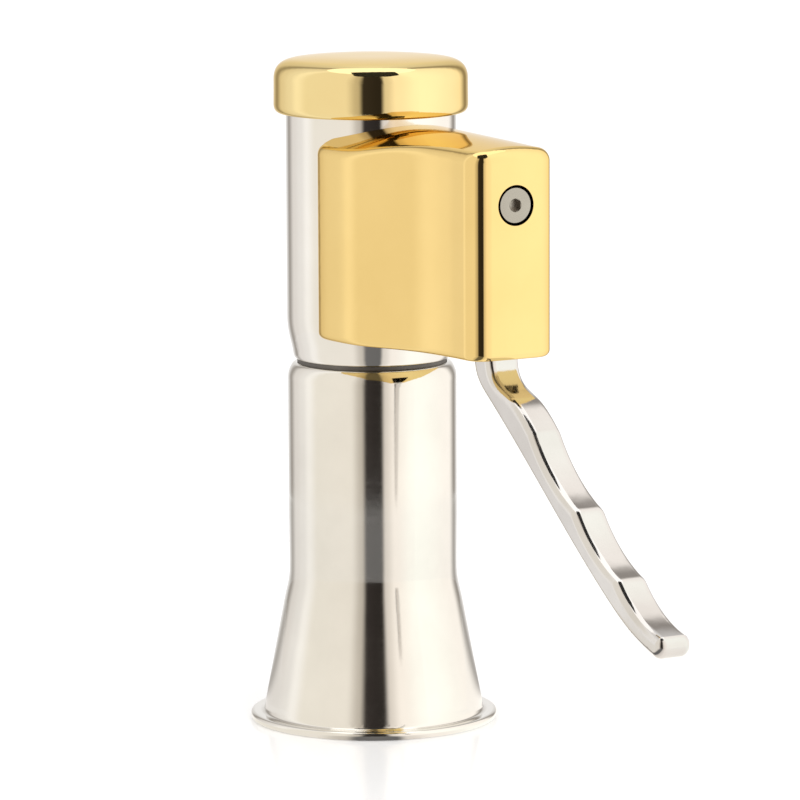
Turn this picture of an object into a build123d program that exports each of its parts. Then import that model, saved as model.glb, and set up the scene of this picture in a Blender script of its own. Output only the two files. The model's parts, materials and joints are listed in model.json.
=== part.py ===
"""Lever cork puller for sparkling wine: a bell that sits over the bottle neck, a tube with a
sliding carrier and three jaws, and a squeeze lever in a side housing that lifts the carrier.

Frame: origin on the tube axis in the plane the foot stands on, +Z up along the tube axis,
+X from the axis towards the housing and the lever. Millimetres.
"""
import os
from math import cos, radians, sin, sqrt, tan

from build123d import *

os.makedirs("parts", exist_ok=True)

# Tube and bell
TUBE_R = 19.0
TUBE_BORE = 17.8
BELL_R = 18.9
BELL_BORE = 17.7
SEAM_Z = 81.6
SEAM_GAP = 0.9
SEAM_LIP_R = 17.1
SEAM_ROOT_R = 16.8
THROAT_R = 16.35
FOOT_R = 27.8
FOOT_T = 1.8
MOUTH_R = 23.4
CONE_FOOT_R = 24.4
CONE_TOP_Z = 27.0
CONE_TOP_R = 20.05
TUBE_TOP = 144.5
FIT = 0.05

# Cap
CAP_R = 21.7
CAP_Z0 = 137.0
CAP_CEILING = 144.6
CAP_TOP = 149.7

# Lever pivot and fork
PIVOT_X = 54.3
PIVOT_Z = 112.5
SWING = 39.0
HUB_R = 5.6
PIN_R = 2.0
LEVER_W = 8.0
LEVER_HALF_T = 3.55
LEVER_EDGE_R = 1.8
BEND_Z = 88.6
CLEVIS_HALF = 2.25
FORK_RIVET_Z = 103.6
FORK_RIVET_R = 1.5
ARM_INNER_Y = 4.1
ARM_OUTER_Y = 12.7
ARM_REACH = 34.3
ARM_DROP = 12.05
ARM_TIP = 38.8
ARM_HALF = 4.9
ARM_T = 2.5
ROLLER_R = 2.25
SLOT_HALF = 2.7

# Carrier and jaws
LIFT = 2 * ARM_DROP
LUG_Z = PIVOT_Z - ARM_DROP
LUG_X = PIVOT_X - ARM_REACH
CARRIER_R = 15.2
CARRIER_Z0 = 97.0
CARRIER_Z1 = 107.0
LUG_IN = 8.0
LUG_OUT = 12.0
SLEEVE_R = 15.5
SLEEVE_Z0 = 88.0
SLEEVE_Z1 = 132.0
SLEEVE_CONE_Z = 112.0
JAW_HINGE_R = 13.6
JAW_HINGE_Z = 103.0
JAW_TOE_Z = 87.0
JAW_SLOPE = 0.103
JAW_HALF_ANGLE = 22.0
JAW_ANGLES = (0.0, 120.0, 240.0)

# Housing
COVER_Z0 = 88.7
COVER_TOP = 136.1
CROWN_FALL = 0.028
COVER_END_X = 62.7
COVER_WALL = 1.8
CROWN_R = 42.5
NOSE_FILLET = 4.6
SCREW_Z = 122.0
WEB_HALF = 1.9
SADDLE_HALF_ANGLE = 19.0
SADDLE_Z0 = 106.6
SADDLE_H = 24.4
SADDLE_T = 2.1
BOSS_X = 59.4
OPENING_X0 = 30.0
OPENING_X1 = 58.8
OPENING_HALF = 4.9
SCREW_HEAD_X = 62.45
SCREW_SEAT_R = 4.35
RIVET_R = 1.5
RIVET_SPOTS = [(z, angle) for z in (110.0, 126.5) for angle in (-13.0, 13.0)]


def jaw_back(z):
    """Radius of a jaw's back at height z, jaws open."""
    return CARRIER_R + (JAW_HINGE_Z - z) * JAW_SLOPE


def outward_plane(angle, radius, z):
    """Plane that faces straight out from the tube axis at an angle, radius and height."""
    out = (cos(radians(angle)), sin(radians(angle)), 0)
    return Plane((radius * out[0], radius * out[1], z), x_dir=(0, 0, 1), z_dir=out)


def side_plane(x, y, z, side=1):
    """Plane that faces along Y, towards side."""
    return Plane((x, y, z), x_dir=(1, 0, 0), z_dir=(0, side, 0))


def radial_section(angle):
    """Upright plane through the tube axis: x is the radius at an angle and y is the height."""
    a = radians(angle)
    return Plane((0, 0, 0), x_dir=(cos(a), sin(a), 0), z_dir=(sin(a), -cos(a), 0))


def hinge_plane(angle):
    """Plane across the pin of the jaw at an angle."""
    out = (cos(radians(angle)), sin(radians(angle)), 0)
    return Plane((out[0] * JAW_HINGE_R, out[1] * JAW_HINGE_R, JAW_HINGE_Z), z_dir=(-out[1], out[0], 0))


# ---------------------------------------------------------------- bell and tube
# Spun steel bell: rolled foot ring, straight cone, cylinder, lip turned in at the seam
with BuildPart() as bell_body:
    with BuildSketch(Plane.XZ):
        with BuildLine():
            Line((MOUTH_R, 0), (FOOT_R - 0.9, 0))
            ThreePointArc((FOOT_R - 0.9, 0), (FOOT_R, 0.9), (FOOT_R - 0.9, FOOT_T))
            Line((FOOT_R - 0.9, FOOT_T), (25.6, FOOT_T))
            Spline(
                (25.6, FOOT_T),
                (CONE_FOOT_R, 4.0),
                tangents=[(-1, 0), (-0.189, 1)],
            )
            Line((CONE_FOOT_R, 4.0), (CONE_TOP_R, CONE_TOP_Z))
            Spline(
                (CONE_TOP_R, CONE_TOP_Z),
                (18.95, 32.3),
                (18.8, 36.5),
                tangents=[(-0.189, 1), (0, 1)],
            )
            Line((18.8, 36.5), (BELL_R, 46.0))
            Line((BELL_R, 46.0), (BELL_R, 77.6))
            Spline(
                (BELL_R, 77.6),
                (18.3, 80.0),
                (SEAM_LIP_R, SEAM_Z - SEAM_GAP / 2),
                tangents=[(0, 1), (-1, 0.25)],
            )
            Line((SEAM_LIP_R, SEAM_Z - SEAM_GAP / 2), (THROAT_R, SEAM_Z - SEAM_GAP / 2))
            Line((THROAT_R, SEAM_Z - SEAM_GAP / 2), (THROAT_R, SEAM_Z - 2.2))
            Spline(
                (THROAT_R, SEAM_Z - 2.2),
                (BELL_BORE, 74.6),
                tangents=[(0.3, -1), (0, -1)],
            )
            Line((BELL_BORE, 74.6), (BELL_BORE, 33.0))
            Spline((BELL_BORE, 33.0), (18.85, 26.6), tangents=[(0, -1), (0.189, -1)])
            Line((18.85, 26.6), (22.95, 5.0))
            Spline((22.95, 5.0), (MOUTH_R, 2.5), tangents=[(0.189, -1), (0, -1)])
            Line((MOUTH_R, 2.5), (MOUTH_R, 0))
        make_face()
    revolve(axis=Axis.Z)
bell_body.part.label = "bell_body"

# Ring that joins bell and tube; its edge is the dark line of the seam
with BuildPart() as joint_ring:
    with BuildSketch(Plane.XZ):
        with Locations((15.9, SEAM_Z)):
            Rectangle(THROAT_R - FIT - 15.9, 6.2, align=(Align.MIN, Align.CENTER))
            Rectangle(SEAM_ROOT_R - 15.9, SEAM_GAP - 0.04, align=(Align.MIN, Align.CENTER))
    revolve(axis=Axis.Z)
joint_ring.part.label = "joint_ring"

# Upper tube with two vertical slots for the carrier's lugs, inside the housing
with BuildPart() as upper_tube:
    with BuildSketch(Plane.XZ):
        with BuildLine():
            Line((TUBE_BORE, TUBE_TOP), (TUBE_R - 0.2, TUBE_TOP))
            Line((TUBE_R - 0.2, TUBE_TOP), (TUBE_R, TUBE_TOP - 0.4))
            Line((TUBE_R, TUBE_TOP - 0.4), (TUBE_R, 91.5))
            Spline(
                (TUBE_R, 91.5),
                (18.4, 86.6),
                (17.75, 83.6),
                (SEAM_LIP_R, SEAM_Z + SEAM_GAP / 2),
                tangents=[(0, -1), (-1, -0.5)],
            )
            Line((SEAM_LIP_R, SEAM_Z + SEAM_GAP / 2), (THROAT_R, SEAM_Z + SEAM_GAP / 2))
            Line((THROAT_R, SEAM_Z + SEAM_GAP / 2), (THROAT_R, SEAM_Z + 3.0))
            Spline(
                (THROAT_R, SEAM_Z + 3.0),
                (17.3, SEAM_Z + 4.6),
                (TUBE_BORE, 87.6),
                tangents=[(0.8, 1), (0, 1)],
            )
            Line((TUBE_BORE, 87.6), (TUBE_BORE, TUBE_TOP))
        make_face()
    revolve(axis=Axis.Z)
    slot_low = LUG_Z - 4.2
    slot_high = LUG_Z + LIFT + 4.2
    with BuildSketch(Plane.YZ):
        for side in (-1, 1):
            with Locations((side * (LUG_IN + LUG_OUT) / 2, (slot_low + slot_high) / 2)):
                Rectangle(LUG_OUT - LUG_IN + 1.2, slot_high - slot_low)
    extrude(amount=30, mode=Mode.SUBTRACT)
    for z, angle in RIVET_SPOTS:
        with BuildSketch(outward_plane(angle, 0, z)):
            Circle(RIVET_R + FIT)
        extrude(amount=30, mode=Mode.SUBTRACT)
upper_tube.part.label = "upper_tube"

# Plastic sleeve inside the tube: its lower cone closes the jaws, its bore guides the carrier
with BuildPart() as guide_sleeve:
    with BuildSketch(Plane.XZ):
        Polygon(
            (TUBE_BORE - FIT, SLEEVE_Z0),
            (TUBE_BORE - FIT, SLEEVE_Z1),
            (SLEEVE_R, SLEEVE_Z1),
            (SLEEVE_R, SLEEVE_CONE_Z),
            (jaw_back(SLEEVE_Z0) + 0.3, SLEEVE_Z0),
            align=None,
        )
    revolve(axis=Axis.Z)
    with BuildSketch(Plane.YZ):
        for side in (-1, 1):
            with Locations((side * (LUG_IN + LUG_OUT) / 2, slot_low)):
                Rectangle(LUG_OUT - LUG_IN + 1.2, 50, align=(Align.CENTER, Align.MIN))
    extrude(amount=30, mode=Mode.SUBTRACT)
    for z, angle in RIVET_SPOTS:
        with BuildSketch(outward_plane(angle, 0, z)):
            Circle(RIVET_R + 0.3)
        extrude(amount=30, mode=Mode.SUBTRACT)
guide_sleeve.part.label = "guide_sleeve"

# ---------------------------------------------------------------- cap
with BuildPart() as cap:
    with BuildSketch(Plane.XZ):
        with BuildLine():
            Line((TUBE_R + 0.15, CAP_Z0), (CAP_R - 1.8, CAP_Z0))
            Spline((CAP_R - 1.8, CAP_Z0), (CAP_R, CAP_Z0 + 2.0), tangents=[(1, 0.05), (0, 1)])
            Line((CAP_R, CAP_Z0 + 2.0), (CAP_R - 0.05, 144.6))
            Spline((CAP_R - 0.05, 144.6), (20.35, 147.9), (17.0, 149.15), tangents=[(0, 1), (-1, 0.12)])
            Spline((17.0, 149.15), (0, CAP_TOP), tangents=[(-1, 0.12), (-1, 0)])
            Line((0, CAP_TOP), (0, 148.0))
            Line((0, 148.0), (2.0 + FIT, 148.0))
            Line((2.0 + FIT, 148.0), (2.0 + FIT, CAP_CEILING))
            Line((2.0 + FIT, CAP_CEILING), (TUBE_R + 0.15, CAP_CEILING))
            Line((TUBE_R + 0.15, CAP_CEILING), (TUBE_R + 0.15, CAP_Z0))
        make_face()
    revolve(axis=Axis.Z)
cap.part.label = "cap"

# Plug in the tube's end that the cap is screwed to; it is also the spring's upper seat
with BuildPart() as cap_plug:
    with BuildSketch(Plane.XZ):
        Polygon(
            (2.2, 138.5),
            (TUBE_BORE - FIT, 138.5),
            (TUBE_BORE - FIT, 140.6),
            (16.0, 140.6),
            (16.0, 142.4),
            (TUBE_BORE - FIT, 142.4),
            (TUBE_BORE - FIT, CAP_CEILING - FIT),
            (2.2, CAP_CEILING - FIT),
            align=None,
        )
    revolve(axis=Axis.Z)
cap_plug.part.label = "cap_plug"

with BuildPart() as plug_ring:
    with BuildSketch(Plane.XZ):
        with Locations((16.9, 141.5)):
            Circle(0.85)
    revolve(axis=Axis.Z)
plug_ring.part.label = "plug_ring"

with BuildPart() as cap_screw:
    with BuildSketch(Plane.XY.offset(136.2)):
        Circle(3.5)
    extrude(amount=2.25)
    with BuildSketch(Plane.XY.offset(136.2)):
        Circle(2.0)
    extrude(amount=11.4)
    with BuildSketch(Plane.XY.offset(136.2)):
        RegularPolygon(1.45, 6)
    extrude(amount=1.4, mode=Mode.SUBTRACT)
    fillet(cap_screw.faces().sort_by(Axis.Z)[0].outer_wire().edges(), 0.6)
cap_screw.part.label = "cap_screw"

# ---------------------------------------------------------------- housing cover
# Plan: starts on the tube's flank, bulges past it, then narrows in an S to a blunt nose
def cover_outline(inset):
    """Draw the cover's plan, moved in by inset, into the line builder that is open."""
    half = Spline(
        (9.2 + 0.4 * inset, 18.6 - inset),
        (17.5, 19.9 - inset),
        (26.0, 18.7 - 1.04 * inset),
        (35.0, 14.9 - 1.08 * inset),
        (44.0, 12.0 - 1.03 * inset),
        (52.0, 10.9 - inset),
        (62.4 - inset, 10.2 - inset),
        tangents=[(0.75, 0.66), (1, -0.06)],
    )
    ThreePointArc(half @ 1, (COVER_END_X - inset, 0), (62.4 - inset, inset - 10.2))
    mirror(about=Plane.XZ, objects=half)
    Polyline(
        (9.2 + 0.4 * inset, inset - 18.6),
        (8.2 + inset, inset - 16.6),
        (8.2 + inset, 16.6 - inset),
        (9.2 + 0.4 * inset, 18.6 - inset),
    )


CROWN = Plane((0, 0, COVER_TOP - CROWN_R), x_dir=(0, 1, 0), z_dir=(1, 0, -CROWN_FALL))

with BuildPart() as cavity:
    with BuildSketch(Plane.XY.offset(COVER_Z0 + COVER_WALL)) as cavity_plan:
        with BuildLine():
            cover_outline(COVER_WALL)
        make_face()
        fillet(cavity_plan.vertices().sort_by(Axis.X)[-2:], NOSE_FILLET - COVER_WALL)
    extrude(amount=50)
    with BuildSketch(CROWN):
        Circle(CROWN_R - COVER_WALL)
    extrude(amount=90, mode=Mode.INTERSECT)

with BuildPart() as housing_cover:
    with BuildSketch(Plane.XY.offset(COVER_Z0)) as cover_base:
        with BuildLine():
            cover_outline(0)
        make_face()
        fillet(cover_base.vertices().sort_by(Axis.X)[-2:], NOSE_FILLET)
    extrude(amount=50)
    with BuildSketch(CROWN):
        Circle(CROWN_R)
    extrude(amount=90, mode=Mode.INTERSECT)
    fillet(housing_cover.faces().sort_by(Axis.Z)[-1].outer_wire().edges(), 2.9)
    fillet(housing_cover.faces().sort_by(Axis.Z)[0].outer_wire().edges(), 1.4)
    add(cavity.part, mode=Mode.SUBTRACT)
    # Pad behind the screw, seated on the bracket's boss
    with BuildSketch(outward_plane(0, BOSS_X + 0.1, SCREW_Z)):
        Circle(5.4)
    extrude(amount=2.0)
    with BuildSketch(outward_plane(0, 59.0, SCREW_Z)):
        Circle(2.2)
    extrude(amount=5.0, mode=Mode.SUBTRACT)
    with BuildSketch(Plane.XZ):
        Polygon(
            (58.49, SCREW_Z),
            (62.0, SCREW_Z + 3.51),
            (61.3, SCREW_Z + SCREW_SEAT_R),
            (63.2, SCREW_Z + SCREW_SEAT_R),
            (63.2, SCREW_Z),
            align=None,
        )
    revolve(axis=Axis((0, 0, SCREW_Z), (1, 0, 0)), mode=Mode.SUBTRACT)
    # Opening the lever hangs through
    with BuildSketch(Plane.XY.offset(COVER_Z0 - 1)):
        with Locations((OPENING_X0, 0)):
            Rectangle(OPENING_X1 - OPENING_X0, 2 * OPENING_HALF, align=(Align.MIN, Align.CENTER))
    extrude(amount=4, mode=Mode.SUBTRACT)
    with BuildSketch(Plane.XY.offset(COVER_Z0 - 1)):
        Circle(TUBE_R + FIT)
    extrude(amount=60, mode=Mode.SUBTRACT)
housing_cover.part.label = "housing_cover"

# Countersunk socket screw, M4 with a 2.5 mm hexagon
with BuildPart() as cover_screw:
    with BuildSketch(Plane.XZ):
        Polygon(
            (48.0, SCREW_Z),
            (48.0, SCREW_Z + 1.6),
            (48.4, SCREW_Z + 1.95),
            (60.6, SCREW_Z + 1.95),
            (62.2, SCREW_Z + 3.55),
            (62.2, SCREW_Z + 3.85),
            (SCREW_HEAD_X, SCREW_Z + 3.75),
            (SCREW_HEAD_X, SCREW_Z),
            align=None,
        )
    revolve(axis=Axis((0, 0, SCREW_Z), (1, 0, 0)))
    with BuildSketch(outward_plane(0, SCREW_HEAD_X + 0.05, SCREW_Z)):
        RegularPolygon(2.6 / sqrt(3), 6)
    extrude(amount=-1.9, mode=Mode.SUBTRACT)
    with BuildSketch(outward_plane(0, SCREW_HEAD_X + 0.05, SCREW_Z)):
        Circle(1.52)
    extrude(amount=-0.2, taper=45, mode=Mode.SUBTRACT)
cover_screw.part.label = "cover_screw"

# ---------------------------------------------------------------- bracket
# Saddle round the tube, web plate in the centre plane, pivot hole and tapped boss for the cover
with BuildPart() as bracket:
    with BuildSketch(Plane.XY.offset(SADDLE_Z0)):
        Circle(TUBE_R + SADDLE_T)
        Circle(TUBE_R + FIT, mode=Mode.SUBTRACT)
        half = 30 * tan(radians(SADDLE_HALF_ANGLE))
        Polygon((0, 0), (30, -half), (30, half), align=None, mode=Mode.INTERSECT)
    extrude(amount=SADDLE_H)
    with BuildSketch(Plane.XZ):
        Polygon(
            (TUBE_R + 0.9, SADDLE_Z0 + 0.3),
            (50.0, SADDLE_Z0 + 0.3),
            (50.0, 126.4),
            (TUBE_R + 0.9, SADDLE_Z0 + SADDLE_H - 0.3),
            align=None,
        )
        with Locations((PIVOT_X, PIVOT_Z)):
            Circle(HUB_R)
        with Locations((45.0, SCREW_Z)):
            Rectangle(BOSS_X - 45.0, 6.4, align=(Align.MIN, Align.CENTER))
        Polygon(
            (49.0, 107.5),
            (PIVOT_X, 107.5),
            (58.4, PIVOT_Z),
            (58.4, 121.0),
            (49.0, 121.0),
            align=None,
        )
        with Locations((31.0, 119.0)):
            Circle(4.5, mode=Mode.SUBTRACT)
        with Locations((41.5, 116.5)):
            Circle(3.5, mode=Mode.SUBTRACT)
    extrude(amount=WEB_HALF, both=True)
    with BuildSketch(outward_plane(0, 46.0, SCREW_Z)):
        Circle(3.2)
    extrude(amount=BOSS_X - 46.0)
    with BuildSketch(outward_plane(0, 47.0, SCREW_Z)):
        Circle(1.95 + FIT)
    extrude(amount=13, mode=Mode.SUBTRACT)
    with BuildSketch(Plane.XZ):
        with Locations((PIVOT_X, PIVOT_Z)):
            Circle(PIN_R + 0.02)
    extrude(amount=5, both=True, mode=Mode.SUBTRACT)
    for z, angle in RIVET_SPOTS:
        with BuildSketch(outward_plane(angle, 0, z)):
            Circle(RIVET_R + FIT)
        extrude(amount=TUBE_R + 2.3, mode=Mode.SUBTRACT)
bracket.part.label = "bracket"

# Rivets that hold the bracket to the tube
with BuildPart() as bracket_rivets:
    for z, angle in RIVET_SPOTS:
        with BuildSketch(outward_plane(angle, 17.2, z)):
            Circle(RIVET_R)
        extrude(amount=4.2)
        with BuildSketch(outward_plane(angle, TUBE_R + SADDLE_T + 0.05, z)):
            Circle(2.0)
        extrude(amount=1.0, taper=25)
bracket_rivets.part.label = "bracket_rivets"

# ---------------------------------------------------------------- lever
# Flat bar: clevis and hub at the top, straight drop through the cover, then a slanting grip
# whose outer side is hollowed for the fingers
hub_low = PIVOT_Z - sqrt(HUB_R**2 - LEVER_HALF_T**2)
crests = [(75.2, 74.8), (92.6, 60.6), (109.0, 48.4), (124.9, 39.1)]
hollows = [(83.4, 66.0), (100.0, 53.2), (116.6, 42.2)]
with BuildPart() as lever:
    with BuildSketch(Plane.XZ) as lever_side:
        with BuildLine():
            Line((PIVOT_X - LEVER_HALF_T, hub_low), (PIVOT_X - LEVER_HALF_T, BEND_Z))
            Spline(
                (PIVOT_X - LEVER_HALF_T, BEND_Z),
                (56.4, 79.9),
                (86.4, 57.0),
                (105.7, 42.9),
                (122.6, 34.6),
                tangents=[(0, -1), (0.95, -0.28)],
            )
            ThreePointArc((122.6, 34.6), (126.1, 36.0), crests[3])
            for i in (2, 1, 0):
                ThreePointArc(crests[i + 1], hollows[i], crests[i])
            Spline(
                crests[0],
                (66.2, 81.1),
                (PIVOT_X + LEVER_HALF_T, BEND_Z),
                tangents=[(-0.75, 0.66), (0, 1)],
            )
            Line((PIVOT_X + LEVER_HALF_T, BEND_Z), (PIVOT_X + LEVER_HALF_T, hub_low))
            ThreePointArc(
                (PIVOT_X + LEVER_HALF_T, hub_low),
                (PIVOT_X, PIVOT_Z + HUB_R),
                (PIVOT_X - LEVER_HALF_T, hub_low),
            )
        make_face()
        tops = lever_side.vertices().filter_by(lambda v: any(abs(v.X - c[0]) < 0.1 for c in crests[:3]))
        fillet(tops, 4.0)
    extrude(amount=LEVER_W / 2, both=True)
    flanks = lever.edges().filter_by(lambda e: abs(abs(e.center().Y) - LEVER_W / 2) < 0.01)
    fillet(flanks.filter_by(lambda e: e.center().Z < hub_low), LEVER_EDGE_R)
    with BuildSketch(Plane.XZ):
        with Locations((PIVOT_X, 100.5)):
            Rectangle(20, 30, align=(Align.CENTER, Align.MIN))
    extrude(amount=CLEVIS_HALF, both=True, mode=Mode.SUBTRACT)
    with BuildSketch(Plane.XZ):
        with Locations((PIVOT_X, PIVOT_Z)):
            Circle(3.0 + 0.02)
        with Locations((PIVOT_X, FORK_RIVET_Z)):
            Circle(FORK_RIVET_R + 0.02)
    extrude(amount=6, both=True, mode=Mode.SUBTRACT)
lever.part.label = "lever"

# Fork arms: one plate each side, narrow at the hub and joggled out to straddle the tube
arm_dir = (-cos(radians(SWING / 2)), -sin(radians(SWING / 2)))
arm_nrm = (-arm_dir[1], arm_dir[0])


def arm_point(along, across):
    """Point of the arm's side view, along it from the pivot and across it."""
    return (
        PIVOT_X + along * arm_dir[0] + across * arm_nrm[0],
        PIVOT_Z + along * arm_dir[1] + across * arm_nrm[1],
    )


fork_arms = []
for label, side in (("fork_arm_left", 1), ("fork_arm_right", -1)):
    with BuildPart() as arm:
        with BuildSketch(Plane.XZ):
            with Locations((PIVOT_X, PIVOT_Z)):
                Circle(HUB_R)
            Polygon(
                arm_point(0, HUB_R),
                arm_point(20, ARM_HALF),
                arm_point(ARM_TIP, ARM_HALF),
                arm_point(ARM_TIP, -ARM_HALF),
                arm_point(20, -ARM_HALF),
                arm_point(0, -HUB_R),
                align=None,
            )
            with Locations((PIVOT_X, PIVOT_Z)):
                Rectangle(7.0, PIVOT_Z - 100.8, align=(Align.CENTER, Align.MAX))
            Polygon(
                arm_point(31.4, SLOT_HALF),
                arm_point(ARM_TIP + 1, SLOT_HALF),
                arm_point(ARM_TIP + 1, -SLOT_HALF),
                arm_point(31.4, -SLOT_HALF),
                align=None,
                mode=Mode.SUBTRACT,
            )
            with Locations((PIVOT_X, FORK_RIVET_Z)):
                Circle(FORK_RIVET_R + 0.02, mode=Mode.SUBTRACT)
            with Locations((PIVOT_X, PIVOT_Z)):
                Circle(PIN_R + FIT, mode=Mode.SUBTRACT)
        extrude(amount=20, both=True)
        with BuildSketch(Plane.XY.offset(90)):
            Polygon(
                (62, side * ARM_INNER_Y),
                (40.3, side * ARM_INNER_Y),
                (25.6, side * ARM_OUTER_Y),
                (10, side * ARM_OUTER_Y),
                (10, side * (ARM_OUTER_Y + ARM_T)),
                (24.9, side * (ARM_OUTER_Y + ARM_T)),
                (39.6, side * (ARM_INNER_Y + ARM_T)),
                (62, side * (ARM_INNER_Y + ARM_T)),
                align=None,
            )
        extrude(amount=40, mode=Mode.INTERSECT)
    arm.part.label = label
    fork_arms.append(arm)

with BuildPart() as fork_rivets:
    for side in (-1, 1):
        with BuildSketch(side_plane(PIVOT_X, side * 2.4, FORK_RIVET_Z, side)):
            Circle(FORK_RIVET_R)
        extrude(amount=4.4)
        with BuildSketch(side_plane(PIVOT_X, side * (ARM_INNER_Y + ARM_T + 0.05), FORK_RIVET_Z, side)):
            Circle(2.4)
        extrude(amount=0.9, taper=25)
fork_rivets.part.label = "fork_rivets"

with BuildPart() as pivot_bushes:
    for side in (-1, 1):
        with BuildSketch(side_plane(PIVOT_X, side * (CLEVIS_HALF + 0.05), PIVOT_Z, side)):
            Circle(3.0)
            Circle(PIN_R + FIT, mode=Mode.SUBTRACT)
        extrude(amount=LEVER_W / 2 - CLEVIS_HALF - 0.1)
pivot_bushes.part.label = "pivot_bushes"

with BuildPart() as pivot_pin:
    with BuildSketch(side_plane(PIVOT_X, 0, PIVOT_Z)):
        Circle(PIN_R)
    extrude(amount=8.2, both=True)
    for side in (-1, 1):
        with BuildSketch(side_plane(PIVOT_X, side * 7.0, PIVOT_Z, side)):
            Circle(PIN_R + 1)
            Circle(PIN_R - 0.35, mode=Mode.SUBTRACT)
        extrude(amount=0.5, mode=Mode.SUBTRACT)
    ends = pivot_pin.faces().sort_by(Axis.Y)
    chamfer(ends[0].edges() + ends[-1].edges(), 0.3)
pivot_pin.part.label = "pivot_pin"

# Retaining rings in the pin's grooves
with BuildPart() as pivot_clips:
    for side in (-1, 1):
        with BuildSketch(side_plane(PIVOT_X, side * 7.03, PIVOT_Z, side)):
            Circle(3.6)
            Circle(PIN_R - 0.33, mode=Mode.SUBTRACT)
            with Locations((0, -3.6)):
                Rectangle(2.2, 4.4, mode=Mode.SUBTRACT)
        extrude(amount=0.44)
pivot_clips.part.label = "pivot_clips"

# ---------------------------------------------------------------- carrier and jaws
with BuildPart() as carrier:
    with BuildSketch(Plane.XY.offset(CARRIER_Z0)):
        Circle(CARRIER_R)
        Circle(11.0, mode=Mode.SUBTRACT)
    extrude(amount=CARRIER_Z1 - CARRIER_Z0)
    with BuildSketch(Plane.XY.offset(LUG_Z - 3.5)):
        for side in (-1, 1):
            with Locations((9.0, side * (LUG_IN + LUG_OUT) / 2)):
                Rectangle(22.4 - 9.0, LUG_OUT - LUG_IN, align=(Align.MIN, Align.CENTER))
    extrude(amount=7.0)
    for angle in JAW_ANGLES:
        out = (cos(radians(angle)), sin(radians(angle)), 0)
        # Pocket for the jaw's ear and the hole for its pin
        with BuildSketch(Plane((0, 0, CARRIER_Z0 - 1), x_dir=out, z_dir=(0, 0, 1))):
            with Locations((12.0, 0)):
                Rectangle(5.0, 6.6, align=(Align.MIN, Align.CENTER))
        extrude(amount=8.9, mode=Mode.SUBTRACT)
        with BuildSketch(hinge_plane(angle)):
            Circle(0.77)
        extrude(amount=4.4, both=True, mode=Mode.SUBTRACT)
    with BuildSketch(Plane.XZ):
        with Locations((LUG_X, LUG_Z)):
            Circle(1.52)
    extrude(amount=20, both=True, mode=Mode.SUBTRACT)
carrier.part.label = "carrier"

with BuildPart() as lug_pins:
    for side in (-1, 1):
        with BuildSketch(side_plane(LUG_X, side * (LUG_IN - 0.1), LUG_Z, side)):
            Circle(1.5)
        extrude(amount=7.3)
        with BuildSketch(side_plane(LUG_X, side * (LUG_IN - 0.5), LUG_Z, side)):
            Circle(2.0)
        extrude(amount=0.46)
lug_pins.part.label = "lug_pins"

with BuildPart() as lug_rollers:
    for side in (-1, 1):
        with BuildSketch(side_plane(LUG_X, side * 12.65, LUG_Z, side)):
            Circle(ROLLER_R)
            Circle(1.55, mode=Mode.SUBTRACT)
        extrude(amount=2.55)
lug_rollers.part.label = "lug_rollers"

# Jaws: a curved claw under a narrow ear that hangs on a pin across the carrier's pocket
jaws = []
for label, angle in zip(("jaw_a", "jaw_b", "jaw_c"), JAW_ANGLES):
    with BuildPart() as jaw:
        with BuildSketch(radial_section(angle - JAW_HALF_ANGLE)):
            Polygon(
                (jaw_back(96.2) - 1.1, 96.2),
                (jaw_back(96.2), 96.2),
                (jaw_back(JAW_TOE_Z), JAW_TOE_Z),
                (jaw_back(JAW_TOE_Z) - 1.7, JAW_TOE_Z + 0.3),
                (jaw_back(89.2) - 1.1, 89.2),
                align=None,
            )
        revolve(axis=Axis.Z, revolution_arc=2 * JAW_HALF_ANGLE)
        with BuildSketch(radial_section(angle)):
            with Locations((JAW_HINGE_R, JAW_HINGE_Z)):
                Circle(1.35)
            Polygon(
                (12.6, 102.1),
                (14.9, 103.0),
                (15.6, 97.2),
                (15.75, 95.8),
                (14.85, 95.8),
                (14.3, 97.2),
                align=None,
            )
        extrude(amount=3.1, both=True)
        with BuildSketch(radial_section(angle)):
            with Locations((JAW_HINGE_R, JAW_HINGE_Z)):
                Circle(0.8)
        extrude(amount=4, both=True, mode=Mode.SUBTRACT)
    jaw.part.label = label
    jaws.append(jaw)

with BuildPart() as jaw_pins:
    for angle in JAW_ANGLES:
        with BuildSketch(hinge_plane(angle)):
            Circle(0.75)
        extrude(amount=4.3, both=True)
jaw_pins.part.label = "jaw_pins"

# Washer on top of the carrier and the spring between it and the cap's plug
with BuildPart() as spring_washer:
    with BuildSketch(Plane.XY.offset(CARRIER_Z1 + 0.03)):
        Circle(15.0)
        Circle(11.6, mode=Mode.SUBTRACT)
    extrude(amount=0.75)
spring_washer.part.label = "spring_washer"

with BuildPart() as return_spring:
    with BuildLine(Plane.XY.offset(CARRIER_Z1 + 1.42)) as coil:
        Helix(pitch=6.5, height=29.4, radius=13.9)
    with BuildSketch(Plane(origin=coil.line @ 0, z_dir=coil.line % 0)):
        Circle(0.6)
    sweep(is_frenet=True)
return_spring.part.label = "return_spring"

pieces = [
    bell_body, joint_ring, upper_tube, guide_sleeve, cap, cap_plug, plug_ring, cap_screw, housing_cover,
    cover_screw, bracket, bracket_rivets, lever, *fork_arms, fork_rivets, pivot_bushes, pivot_pin,
    pivot_clips, carrier, lug_pins, lug_rollers, *jaws, jaw_pins, spring_washer, return_spring,
]
for piece in pieces:
    export_step(piece.part, f"parts/{piece.part.label}.step")
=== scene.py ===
import json
import math

import bpy
from mathutils import Matrix, Vector

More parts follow.
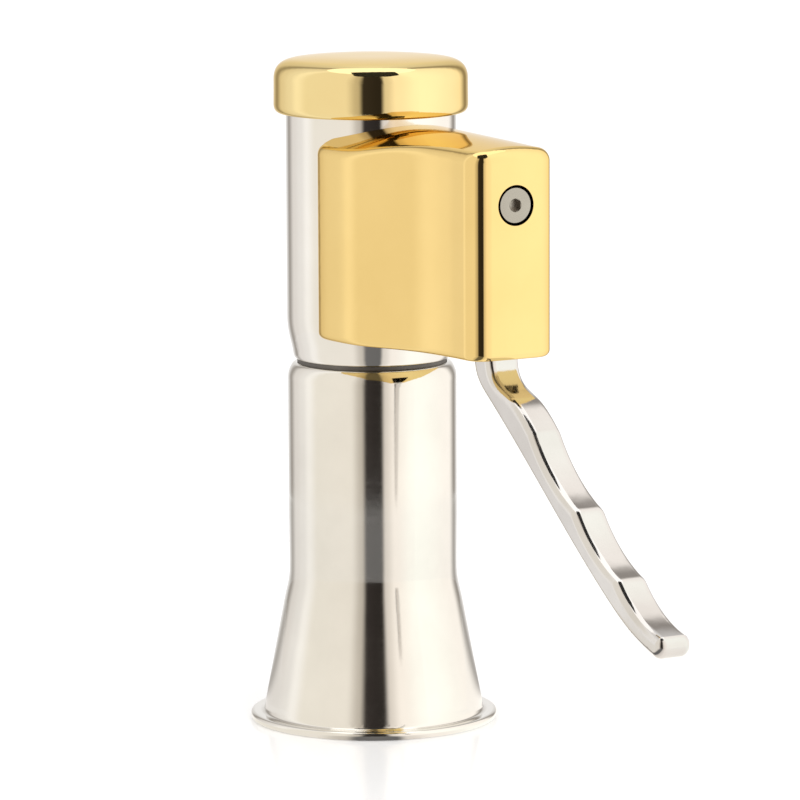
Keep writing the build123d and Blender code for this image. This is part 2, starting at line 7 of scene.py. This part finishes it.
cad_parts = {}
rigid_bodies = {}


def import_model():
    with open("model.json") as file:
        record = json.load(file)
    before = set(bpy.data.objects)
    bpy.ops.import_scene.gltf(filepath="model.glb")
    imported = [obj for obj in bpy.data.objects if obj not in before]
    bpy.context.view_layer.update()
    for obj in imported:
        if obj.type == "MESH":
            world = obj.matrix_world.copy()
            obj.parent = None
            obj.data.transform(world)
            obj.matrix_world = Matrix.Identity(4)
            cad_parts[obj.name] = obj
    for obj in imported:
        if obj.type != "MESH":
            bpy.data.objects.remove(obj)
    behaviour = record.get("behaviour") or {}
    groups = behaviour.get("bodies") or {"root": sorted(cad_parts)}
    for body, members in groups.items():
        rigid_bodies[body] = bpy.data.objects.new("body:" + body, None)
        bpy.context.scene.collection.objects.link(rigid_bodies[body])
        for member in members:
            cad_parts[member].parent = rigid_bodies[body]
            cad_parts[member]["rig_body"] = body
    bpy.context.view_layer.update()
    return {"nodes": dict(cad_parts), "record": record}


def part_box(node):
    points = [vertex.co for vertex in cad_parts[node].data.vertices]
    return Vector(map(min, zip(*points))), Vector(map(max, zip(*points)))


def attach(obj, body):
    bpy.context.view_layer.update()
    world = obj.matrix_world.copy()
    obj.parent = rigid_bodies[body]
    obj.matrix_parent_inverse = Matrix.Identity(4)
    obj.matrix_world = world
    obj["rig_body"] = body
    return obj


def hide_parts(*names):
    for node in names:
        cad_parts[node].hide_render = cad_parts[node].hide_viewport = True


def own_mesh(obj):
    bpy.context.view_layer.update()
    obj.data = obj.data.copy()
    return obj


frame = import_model()
scene = bpy.context.scene
nodes = frame["nodes"]


# ---------------------------------------------------------------- shader helpers
def principled(tree):
    return next(n for n in tree.nodes if n.type == "BSDF_PRINCIPLED")


def material(name, color, metallic, roughness):
    """A principled material; returns it with its node tree and its shader."""
    mat = bpy.data.materials.new(name)
    mat.use_nodes = True
    tree = mat.node_tree
    shader = principled(tree)
    shader.inputs["Base Color"].default_value = (*color, 1)
    shader.inputs["Metallic"].default_value = metallic
    shader.inputs["Roughness"].default_value = roughness
    return mat, tree, shader


def noise(tree, stretch, scale, detail=3.0, rough=0.55):
    """Noise in the object's own frame, stretched along each axis."""
    where = tree.nodes.new("ShaderNodeTexCoord")
    shape = tree.nodes.new("ShaderNodeMapping")
    shape.inputs["Scale"].default_value = stretch
    tree.links.new(where.outputs["Object"], shape.inputs["Vector"])
    tex = tree.nodes.new("ShaderNodeTexNoise")
    tex.inputs["Scale"].default_value = scale
    tex.inputs["Detail"].default_value = detail
    tex.inputs["Roughness"].default_value = rough
    tree.links.new(shape.outputs["Vector"], tex.inputs["Vector"])
    return tex.outputs["Fac"]


def spread(tree, value, low, high, from_low=0.3, from_high=0.7):
    """Map a 0-1 value to low-high."""
    rng = tree.nodes.new("ShaderNodeMapRange")
    rng.inputs["From Min"].default_value = from_low
    rng.inputs["From Max"].default_value = from_high
    rng.inputs["To Min"].default_value = low
    rng.inputs["To Max"].default_value = high
    tree.links.new(value, rng.inputs["Value"])
    return rng.outputs["Result"]


def add(tree, a, b):
    node = tree.nodes.new("ShaderNodeMath")
    node.operation = "ADD"
    tree.links.new(a, node.inputs[0])
    tree.links.new(b, node.inputs[1])
    return node.outputs[0]


def tint(tree, value, low, high):
    """Colour that runs from low to high with a value."""
    ramp = tree.nodes.new("ShaderNodeValToRGB")
    ramp.color_ramp.elements[0].position = 0.3
    ramp.color_ramp.elements[0].color = (*low, 1)
    ramp.color_ramp.elements[1].position = 0.7
    ramp.color_ramp.elements[1].color = (*high, 1)
    tree.links.new(value, ramp.inputs["Fac"])
    return ramp.outputs["Color"]


def near(tree, axis_point, direction, inner, outer):
    """1 within inner metres of an axis, 0 beyond outer, in the object's own frame."""
    where = tree.nodes.new("ShaderNodeTexCoord")
    offset = tree.nodes.new("ShaderNodeVectorMath")
    offset.operation = "SUBTRACT"
    tree.links.new(where.outputs["Object"], offset.inputs[0])
    offset.inputs[1].default_value = axis_point
    across = tree.nodes.new("ShaderNodeVectorMath")
    across.operation = "CROSS_PRODUCT"
    tree.links.new(offset.outputs["Vector"], across.inputs[0])
    across.inputs[1].default_value = direction
    length = tree.nodes.new("ShaderNodeVectorMath")
    length.operation = "LENGTH"
    tree.links.new(across.outputs["Vector"], length.inputs[0])
    return spread(tree, length.outputs["Value"], 1.0, 0.0, inner, outer)


def bump(tree, shader, height, strength, distance):
    node = tree.nodes.new("ShaderNodeBump")
    node.inputs["Strength"].default_value = strength
    node.inputs["Distance"].default_value = distance
    tree.links.new(height, node.inputs["Height"])
    tree.links.new(node.outputs["Normal"], shader.inputs["Normal"])


def metal(name, low, high, rough, lines=(60, 60, 60), line_scale=40.0, wave=0.0, wave_scale=60.0):
    """Metal whose colour drifts a little, with smudges and fine lines in its roughness."""
    mat, tree, shader = material(name, high, 1.0, rough[0])
    drift = noise(tree, (1, 1, 1), 45.0, 4.0)
    tree.links.new(tint(tree, drift, low, high), shader.inputs["Base Color"])
    smudge = spread(tree, noise(tree, (1, 1, 1), 95.0, 6.0, 0.65), rough[0], rough[1])
    fine = spread(tree, noise(tree, lines, line_scale, 2.0), 0.0, rough[2])
    tree.links.new(add(tree, smudge, fine), shader.inputs["Roughness"])
    if wave:
        bump(tree, shader, noise(tree, (1, 1, 1), wave_scale, 2.0), 1.0, wave)
    return mat


# ---------------------------------------------------------------- materials
GOLD = ((0.82, 0.61, 0.255), (0.855, 0.645, 0.28))
GOLD_EDGE = (0.92, 0.80, 0.58, 1)
# Painted shade: near-black colour laid into the groove round the cover's screw
GROOVE_SHADE = (0.035, 0.022, 0.010, 1)
GROOVE = (0.00437, 0.00441)  # from the screw's axis: black up to here, gold from here
STEEL = ((0.77, 0.75, 0.715), (0.82, 0.80, 0.77))

finishes = {
    "cap_gold": metal(
        "cap_gold", (0.83, 0.67, 0.335), (0.865, 0.71, 0.365), (0.02, 0.045, 0.012), (4, 4, 160), 20.0,
    ),
    "cover_gold": metal(
        "cover_gold", *GOLD, (0.025, 0.06, 0.015), (6, 6, 120), 20.0, wave=0.00003, wave_scale=38.0,
    ),
    "tube_steel": metal("tube_steel", *STEEL, (0.035, 0.07, 0.03), (3, 3, 260), 24.0),
    "bell_steel": metal(
        "bell_steel", (0.74, 0.72, 0.68), (0.81, 0.79, 0.75), (0.05, 0.10, 0.04), (3, 3, 260), 24.0,
    ),
    # Painted shade: the joint ring gets near-black steel so that the groove between tube and bell
    # reads dark
    "seam": metal(
        "seam", (0.11, 0.10, 0.095), (0.19, 0.18, 0.17), (0.35, 0.5, 0.1), (3, 3, 200), 20.0,
    ),
    "chrome": metal(
        "chrome", (0.62, 0.60, 0.585), (0.71, 0.695, 0.685), (0.05, 0.13, 0.03), (30, 200, 30), 12.0,
        wave=0.00010, wave_scale=130.0,
    ),
    "screw": metal(
        "screw", (0.36, 0.33, 0.29), (0.45, 0.42, 0.375), (0.22, 0.34, 0.08), (30, 160, 160), 30.0,
    ),
    "plate": metal(
        "plate", (0.44, 0.45, 0.47), (0.60, 0.60, 0.60), (0.28, 0.45, 0.1), (60, 8, 60), 30.0,
    ),
    "fastener": metal(
        "fastener", (0.50, 0.49, 0.47), (0.62, 0.61, 0.59), (0.24, 0.36, 0.1), (10, 90, 90), 30.0,
    ),
    "spring": metal(
        "spring", (0.34, 0.34, 0.36), (0.46, 0.46, 0.48), (0.25, 0.4, 0.08), (90, 90, 30), 30.0,
    ),
    "bronze": metal(
        "bronze", (0.50, 0.34, 0.17), (0.66, 0.48, 0.27), (0.32, 0.5, 0.1), (60, 60, 60), 30.0,
    ),
    "jaw": metal(
        "jaw", (0.34, 0.34, 0.35), (0.50, 0.50, 0.51), (0.28, 0.42, 0.1), (40, 40, 200), 30.0,
    ),
}

# Warm edge reflection, so that the golds don't turn white where they are seen at a slant
for name in ("cap_gold", "cover_gold"):
    principled(finishes[name].node_tree).inputs["Specular Tint"].default_value = GOLD_EDGE

# Painted shade: the groove round the cover's screw is coloured black to stand in for the shadow in the
# recess
tree = finishes["cover_gold"].node_tree
shader = principled(tree)
plain = shader.inputs["Base Color"].links[0].from_socket
low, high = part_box("cover_screw")
groove = near(tree, (0, 0, (low.z + high.z) / 2), (1, 0, 0), *GROOVE)
groove_shade = tree.nodes.new("ShaderNodeMix")
groove_shade.data_type = "RGBA"
tree.links.new(groove, groove_shade.inputs[0])
tree.links.new(plain, groove_shade.inputs[6])
groove_shade.inputs[7].default_value = GROOVE_SHADE
tree.links.new(groove_shade.outputs[2], shader.inputs["Base Color"])

acetal, tree, shader = material("acetal", (0.86, 0.86, 0.82), 0.0, 0.4)
grain = noise(tree, (1, 1, 1), 160.0, 5.0)
tree.links.new(tint(tree, grain, (0.80, 0.80, 0.75), (0.88, 0.88, 0.85)), shader.inputs["Base Color"])
tree.links.new(spread(tree, grain, 0.34, 0.52), shader.inputs["Roughness"])
shader.inputs["Subsurface Weight"].default_value = 0.08
shader.inputs["Subsurface Scale"].default_value = 0.002
bump(tree, shader, noise(tree, (1, 1, 6), 900.0, 2.0), 0.3, 0.00003)
finishes["acetal"] = acetal

rubber, tree, shader = material("rubber", (0.03, 0.03, 0.03), 0.0, 0.7)
grain = noise(tree, (1, 1, 1), 400.0, 4.0)
tree.links.new(tint(tree, grain, (0.02, 0.02, 0.02), (0.05, 0.05, 0.048)), shader.inputs["Base Color"])
tree.links.new(spread(tree, grain, 0.55, 0.8), shader.inputs["Roughness"])
finishes["rubber"] = rubber

wears = {
    "cap": "cap_gold",
    "housing_cover": "cover_gold",
    "upper_tube": "tube_steel",
    "bell_body": "bell_steel",
    "joint_ring": "seam",
    "lever": "chrome",
    "cover_screw": "screw",
    "pivot_bushes": "bronze",
    "guide_sleeve": "acetal",
    "cap_plug": "acetal",
    "plug_ring": "rubber",
    "return_spring": "spring",
    "pivot_clips": "spring",
    "jaw_a": "jaw",
    "jaw_b": "jaw",
    "jaw_c": "jaw",
}
slots = {piece["node"]: piece["material_slot"] for piece in frame["record"]["subparts"]}
for name, obj in nodes.items():
    finish = finishes[wears.get(name, slots[name] if slots[name] in finishes else "fastener")]
    obj.data.materials.clear()
    obj.data.materials.append(finish)

# ---------------------------------------------------------------- return spring
# A copy takes the rigid CAD spring's place
low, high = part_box("return_spring")
spring = bpy.data.objects.new("spring_coil", nodes["return_spring"].data.copy())
scene.collection.objects.link(spring)
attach(spring, nodes["return_spring"]["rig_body"])
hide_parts("return_spring")
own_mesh(spring)

# ---------------------------------------------------------------- floor and light
bpy.ops.mesh.primitive_circle_add(vertices=96, radius=6.0, fill_type="NGON", location=(0, 0, -0.0001))
floor = bpy.context.object
floor.name = "floor"
floor_mat, tree, shader = material("floor_white", (0.90, 0.90, 0.905), 0.0, 0.16)
shader.inputs["Specular IOR Level"].default_value = 0.25
floor.data.materials.append(floor_mat)
floor.visible_glossy = False  # reflections see the tent's own floor instead

world = bpy.data.worlds.new("studio")
scene.world = world
world.use_nodes = True
background = world.node_tree.nodes["Background"]
background.inputs["Color"].default_value = (1.0, 0.99, 0.975, 1)
background.inputs["Strength"].default_value = 1.12

# Where the lens stands, and what the soft lights face
EYE = Vector((1.02658, -0.579525, 0.247534))
EYE_AZIMUTH = math.degrees(math.atan2(EYE.y, EYE.x))
AIM = Vector((0, 0, 0.075))
TENT_R = 0.31
TENT_H = 0.72
TENT_TURN = (0, 0, math.radians(EYE_AZIMUTH))
TENT_GLOW = 1.5
ROOF_SIZE = 0.9
ROOF_Z = 0.80

# A light tent round the object: white cloth with a slit in front for the lens and a
# dimmer seam at each side of the back. Only reflections see it. Angles go from the slit.
CLOTH = [
    (-180, (1.02, 1.01, 1.00)),
    (-160, (0.85, 0.83, 0.81)),
    (-144, (0.42, 0.39, 0.36)),
    (-127, (0.90, 0.86, 0.82)),
    (-108, (1.00, 0.97, 0.93)),
    (-95, (1.16, 1.13, 1.08)),
    (-78, (1.03, 0.98, 0.88)),
    (-30, (1.04, 0.98, 0.88)),
    (-15, (0.66, 0.60, 0.52)),
    (-8, (0.04, 0.033, 0.03)),
    (11, (0.03, 0.025, 0.022)),
    (17, (0.90, 0.83, 0.75)),
    (30, (1.22, 1.14, 1.05)),
    (60, (1.34, 1.35, 1.26)),
    (125, (1.26, 1.20, 1.13)),
    (145, (0.38, 0.35, 0.32)),
    (161, (0.85, 0.83, 0.81)),
    (180, (1.02, 1.01, 1.00)),
]
bpy.ops.mesh.primitive_cylinder_add(
    vertices=128, radius=TENT_R, depth=TENT_H, end_fill_type="NOTHING", location=(0, 0, TENT_H / 2),
    rotation=TENT_TURN,
)
tent = bpy.context.object
tent.name = "light_tent"


def cloth(name, lift):
    """Glow that turns with the angle round the tube; lift adds light to its dark parts."""
    mat = bpy.data.materials.new(name)
    mat.use_nodes = True
    tree = mat.node_tree
    tree.nodes.clear()
    out = tree.nodes.new("ShaderNodeOutputMaterial")
    glow = tree.nodes.new("ShaderNodeEmission")
    glow.inputs["Strength"].default_value = TENT_GLOW
    ramp = tree.nodes.new("ShaderNodeValToRGB")
    ramp.color_ramp.interpolation = "EASE"
    stops = ramp.color_ramp.elements
    while len(stops) < len(CLOTH):
        stops.new(0.5)
    for stop, (angle, _) in zip(stops, CLOTH):
        stop.position = (angle + 180) / 360
    for stop, (_, light) in zip(stops, CLOTH):
        stop.color = (*[(c * (1 - lift) + lift) / TENT_GLOW for c in light], 1)
    turn = tree.nodes.new("ShaderNodeTexGradient")
    turn.gradient_type = "RADIAL"
    where = tree.nodes.new("ShaderNodeTexCoord")
    tree.links.new(where.outputs["Object"], turn.inputs["Vector"])
    tree.links.new(turn.outputs["Fac"], ramp.inputs["Fac"])
    tree.links.new(ramp.outputs["Color"], glow.inputs["Color"])
    tree.links.new(glow.outputs["Emission"], out.inputs["Surface"])
    return mat


def only_reflected(obj):
    """Only reflections see this, and it isn't part of the object."""
    obj.visible_camera = False
    obj.visible_diffuse = False
    obj.visible_shadow = False


tent.data.materials.append(cloth("tent_cloth", 0.0))
only_reflected(tent)

bpy.ops.mesh.primitive_circle_add(
    vertices=128, radius=TENT_R, fill_type="NGON", location=(0, 0, -0.0006), rotation=TENT_TURN,
)
sheet = bpy.context.object
sheet.name = "tent_floor"
sheet.data.materials.append(cloth("tent_floor", 0.15))
only_reflected(sheet)


def softbox(name, angle, distance, height, size, power):
    """Area light that faces the object, at an angle from the lens slit. Reflections don't see it."""
    data = bpy.data.lights.new(name, "AREA")
    data.shape = "SQUARE"
    data.size = size
    data.energy = power
    obj = bpy.data.objects.new(name, data)
    scene.collection.objects.link(obj)
    a = math.radians(EYE_AZIMUTH + angle)
    obj.location = (distance * math.cos(a), distance * math.sin(a), height)
    obj.rotation_euler = (AIM - obj.location).to_track_quat("-Z", "Y").to_euler()
    obj.visible_camera = False
    obj.visible_glossy = False


softbox("key", 40.0, 1.6, 1.3, 1.4, 16.0)
softbox("fill", -50.0, 1.6, 1.1, 1.4, 10.0)

# The tent's bright roof
roof_glow, tree, shader = material("tent_roof", (0, 0, 0), 0.0, 0.5)
shader.inputs["Emission Color"].default_value = (1.0, 0.98, 0.95, 1)
shader.inputs["Emission Strength"].default_value = 1.55
bpy.ops.mesh.primitive_plane_add(size=ROOF_SIZE, location=(0, 0, ROOF_Z), rotation=(math.pi, 0, 0))
roof = bpy.context.object
roof.name = "tent_roof"
roof.data.materials.append(roof_glow)
only_reflected(roof)

# A dark flap that leans in over the slit
FLAP_ANGLE = 8.0
FLAP_TILT = 56.0
FLAP_R = 0.195
FLAP_Z = 0.575
a = math.radians(EYE_AZIMUTH + FLAP_ANGLE)
bpy.ops.mesh.primitive_plane_add(
    size=1, location=(FLAP_R * math.cos(a), FLAP_R * math.sin(a), FLAP_Z),
    rotation=(0, math.radians(FLAP_TILT), a),
)
flap = bpy.context.object
flap.name = "slit_flap"
flap.scale = (0.374, 0.34, 1)
flap.data.materials.append(material("slit_flap", (0.01, 0.01, 0.01), 0.0, 1.0)[0])
only_reflected(flap)

# ---------------------------------------------------------------- camera
data = bpy.data.cameras.new("camera")
camera = bpy.data.objects.new("camera", data)
scene.collection.objects.link(camera)
scene.camera = camera
forward = Vector((-0.8587702, 0.49077, -0.147168))
up = Vector((-0.12561, 0.076803, 0.989102))
right = forward.cross(up).normalized()
up = right.cross(forward)
camera.matrix_world = Matrix.Translation(EYE) @ Matrix((right, up, -forward)).transposed().to_4x4()
data.sensor_width = 36.0
data.lens = 238.92
data.clip_start = 0.05
data.clip_end = 50.0

scene.view_settings.view_transform = "Standard"
scene.view_settings.look = "None"
